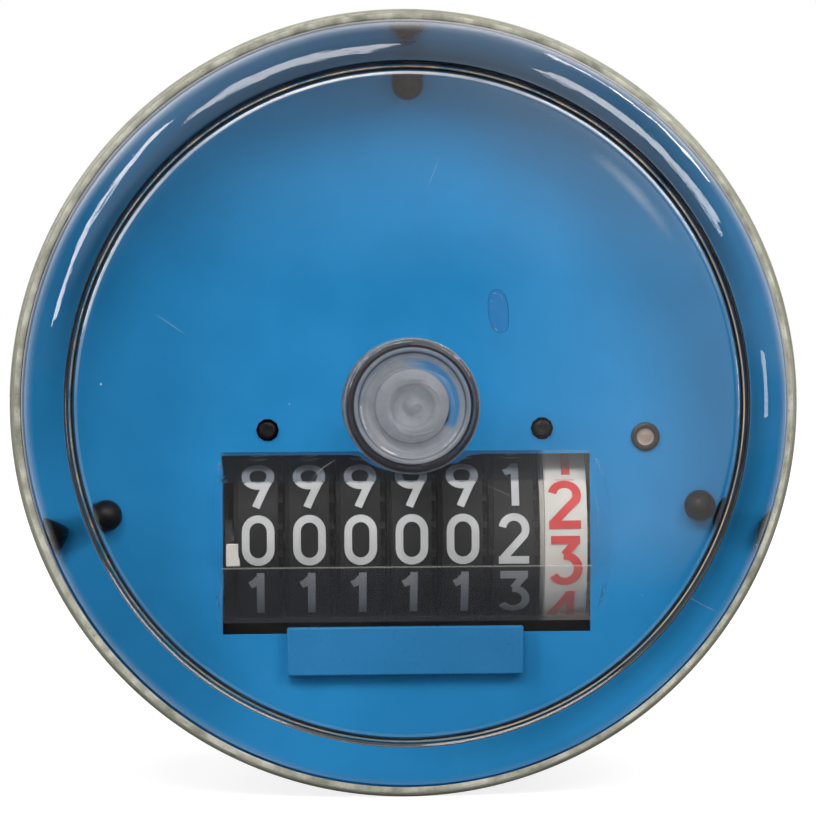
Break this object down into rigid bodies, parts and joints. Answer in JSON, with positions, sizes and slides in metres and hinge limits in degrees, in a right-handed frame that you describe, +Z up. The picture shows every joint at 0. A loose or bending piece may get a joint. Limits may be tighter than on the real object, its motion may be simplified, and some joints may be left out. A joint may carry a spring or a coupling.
{
  "type": "hubodometer",
  "caption": "Wheel-hub distance counter: clear domed cover on a round cast housing that turns with the wheel, weighted blue dial with number wheels hanging on its axle, rear stud.",
  "frame": {"origin": "centre of the bounding box, on the spin axis halfway between the boss's front end and the stud's rear end", "axes": "+Y from the clear cover back along the stud, +Z up, +X to the right as the dial is read"},
  "size_m": [0.086, 0.0754, 0.086],
  "materials": {
    "zinc_casting": "plain cast grey",
    "clear_plastic": "clear and polished",
    "rubber": "plain",
    "steel": "bright",
    "nylon": "off-white",
    "brass": "machined",
    "frame_steel": "dark brown coating",
    "lead_alloy": "rough cast",
    "blue_paint": "satin blue",
    "black_plastic": "satin black",
    "white_plastic": "satin off-white"
  },
  "bodies": {
    "housing": {"housing": "zinc_casting", "front_cover": "clear_plastic", "cover_seal": "rubber", "main_axle": "steel", "front_bushing": "nylon", "drive_worm": "brass", "mounting_stud": "steel", "lock_washer": "steel", "mounting_nut": "steel"},
    "pendulum": {"frame_front": "frame_steel", "frame_rear": "frame_steel", "counterweight": "lead_alloy", "dial_plate": "blue_paint", "unit_plate": "blue_paint", "dial_pin_top": "black_plastic", "dial_pin_left": "black_plastic", "dial_pin_right": "black_plastic", "dial_peg_left": "black_plastic", "dial_peg_right": "black_plastic", "dial_eyelet": "steel", "counter_lens": "clear_plastic", "front_hub_bush": "brass", "rear_hub_bush": "brass", "post_left": "steel", "post_right": "steel", "post_screw_left": "steel", "post_screw_right": "steel", "weight_screw_left": "steel", "weight_screw_right": "steel", "number_shaft": "steel", "pinion_shaft": "steel", "shaft_clip_left": "steel", "shaft_clip_right": "steel", "shaft_collar": "white_plastic", "cross_bearing": "brass", "gear_stub": "steel"},
    "idler": {"drive_gear": "brass", "transfer_gear": "brass"},
    "cross": {"cross_gear": "brass", "cross_shaft": "steel", "counter_worm": "steel"},
    "tenths": {"tenths_wheel": "white_plastic", "tenths_gear": "brass"},
    "number_hundred_thousands": {"wheel_hundred_thousands": "black_plastic"},
    "pinion_hundred_thousands": {"carry_pinion_hundred_thousands": "nylon"},
    "number_ten_thousands": {"wheel_ten_thousands": "black_plastic"},
    "pinion_ten_thousands": {"carry_pinion_ten_thousands": "nylon"},
    "number_thousands": {"wheel_thousands": "black_plastic"},
    "pinion_thousands": {"carry_pinion_thousands": "nylon"},
    "number_hundreds": {"wheel_hundreds": "black_plastic"},
    "pinion_hundreds": {"carry_pinion_hundreds": "nylon"},
    "number_tens": {"wheel_tens": "black_plastic"},
    "pinion_tens": {"carry_pinion_tens": "nylon"},
    "number_units": {"wheel_units": "black_plastic"},
    "pinion_units": {"carry_pinion_units": "nylon"}
  },
  "joints": [
    {"name": "pendulum_swing", "type": "hinge", "parent": "housing", "child": "pendulum", "pos_m": [0, 0, 0], "axis": [0, 1, 0], "continuous": true},
    {"name": "idler_turn", "type": "hinge", "parent": "pendulum", "child": "idler", "pos_m": [0.01041, 0.00578, 0], "axis": [0, 0, 1], "continuous": true},
    {"name": "cross_turn", "type": "hinge", "parent": "pendulum", "child": "cross", "pos_m": [0.0228, 0.00578, 0], "axis": [0, 0, 1], "continuous": true},
    {"name": "tenths_turn", "type": "hinge", "parent": "pendulum", "child": "tenths", "pos_m": [0.01785, 0.0001, -0.01505], "axis": [1, 0, 0], "continuous": true},
    {"name": "units_turn", "type": "hinge", "parent": "pendulum", "child": "number_units", "pos_m": [0.01205, 0.0001, -0.01505], "axis": [1, 0, 0], "continuous": true},
    {"name": "pinion_units_turn", "type": "hinge", "parent": "pendulum", "child": "pinion_units", "pos_m": [0.01487, 0.00408, -0.0273], "axis": [1, 0, 0], "continuous": true},
    {"name": "tens_turn", "type": "hinge", "parent": "pendulum", "child": "number_tens", "pos_m": [0.0064, 0.0001, -0.01505], "axis": [1, 0, 0], "continuous": true},
    {"name": "pinion_tens_turn", "type": "hinge", "parent": "pendulum", "child": "pinion_tens", "pos_m": [0.00923, 0.00408, -0.0273], "axis": [1, 0, 0], "continuous": true},
    {"name": "hundreds_turn", "type": "hinge", "parent": "pendulum", "child": "number_hundreds", "pos_m": [0.00075, 0.0001, -0.01505], "axis": [1, 0, 0], "continuous": true},
    {"name": "pinion_hundreds_turn", "type": "hinge", "parent": "pendulum", "child": "pinion_hundreds", "pos_m": [0.00358, 0.00408, -0.0273], "axis": [1, 0, 0], "continuous": true},
    {"name": "thousands_turn", "type": "hinge", "parent": "pendulum", "child": "number_thousands", "pos_m": [-0.0049, 0.0001, -0.01505], "axis": [1, 0, 0], "continuous": true},
    {"name": "pinion_thousands_turn", "type": "hinge", "parent": "pendulum", "child": "pinion_thousands", "pos_m": [-0.00208, 0.00408, -0.0273], "axis": [1, 0, 0], "continuous": true},
    {"name": "ten_thousands_turn", "type": "hinge", "parent": "pendulum", "child": "number_ten_thousands", "pos_m": [-0.01055, 0.0001, -0.01505], "axis": [1, 0, 0], "continuous": true},
    {"name": "pinion_ten_thousands_turn", "type": "hinge", "parent": "pendulum", "child": "pinion_ten_thousands", "pos_m": [-0.00773, 0.00408, -0.0273], "axis": [1, 0, 0], "continuous": true},
    {"name": "hundred_thousands_turn", "type": "hinge", "parent": "pendulum", "child": "number_hundred_thousands", "pos_m": [-0.0162, 0.0001, -0.01505], "axis": [1, 0, 0], "continuous": true},
    {"name": "pinion_hundred_thousands_turn", "type": "hinge", "parent": "pendulum", "child": "pinion_hundred_thousands", "pos_m": [-0.01337, 0.00408, -0.0273], "axis": [1, 0, 0], "continuous": true}
  ],
  "couplings": [
    {"joint": "idler_turn", "follows": "pendulum_swing", "ratio": -0.038462},
    {"joint": "cross_turn", "follows": "pendulum_swing", "ratio": 0.038462},
    {"joint": "tenths_turn", "follows": "pendulum_swing", "ratio": -0.0019231},
    {"joint": "units_turn", "follows": "pendulum_swing", "ratio": -0.00019231},
    {"joint": "pinion_units_turn", "follows": "pendulum_swing", "ratio": 0.00048077},
    {"joint": "tens_turn", "follows": "pendulum_swing", "ratio": -0.000019231},
    {"joint": "pinion_tens_turn", "follows": "pendulum_swing", "ratio": 0.000048077},
    {"joint": "hundreds_turn", "follows": "pendulum_swing", "ratio": -0.0000019231},
    {"joint": "pinion_hundreds_turn", "follows": "pendulum_swing", "ratio": 0.0000048077},
    {"joint": "thousands_turn", "follows": "pendulum_swing", "ratio": -0.00000019231},
    {"joint": "pinion_thousands_turn", "follows": "pendulum_swing", "ratio": 0.00000048077},
    {"joint": "ten_thousands_turn", "follows": "pendulum_swing", "ratio": -0.000000019231},
    {"joint": "pinion_ten_thousands_turn", "follows": "pendulum_swing", "ratio": 0.000000048077},
    {"joint": "hundred_thousands_turn", "follows": "pendulum_swing", "ratio": -0.0000000019231},
    {"joint": "pinion_hundred_thousands_turn", "follows": "pendulum_swing", "ratio": 0.0000000048077}
  ]
}
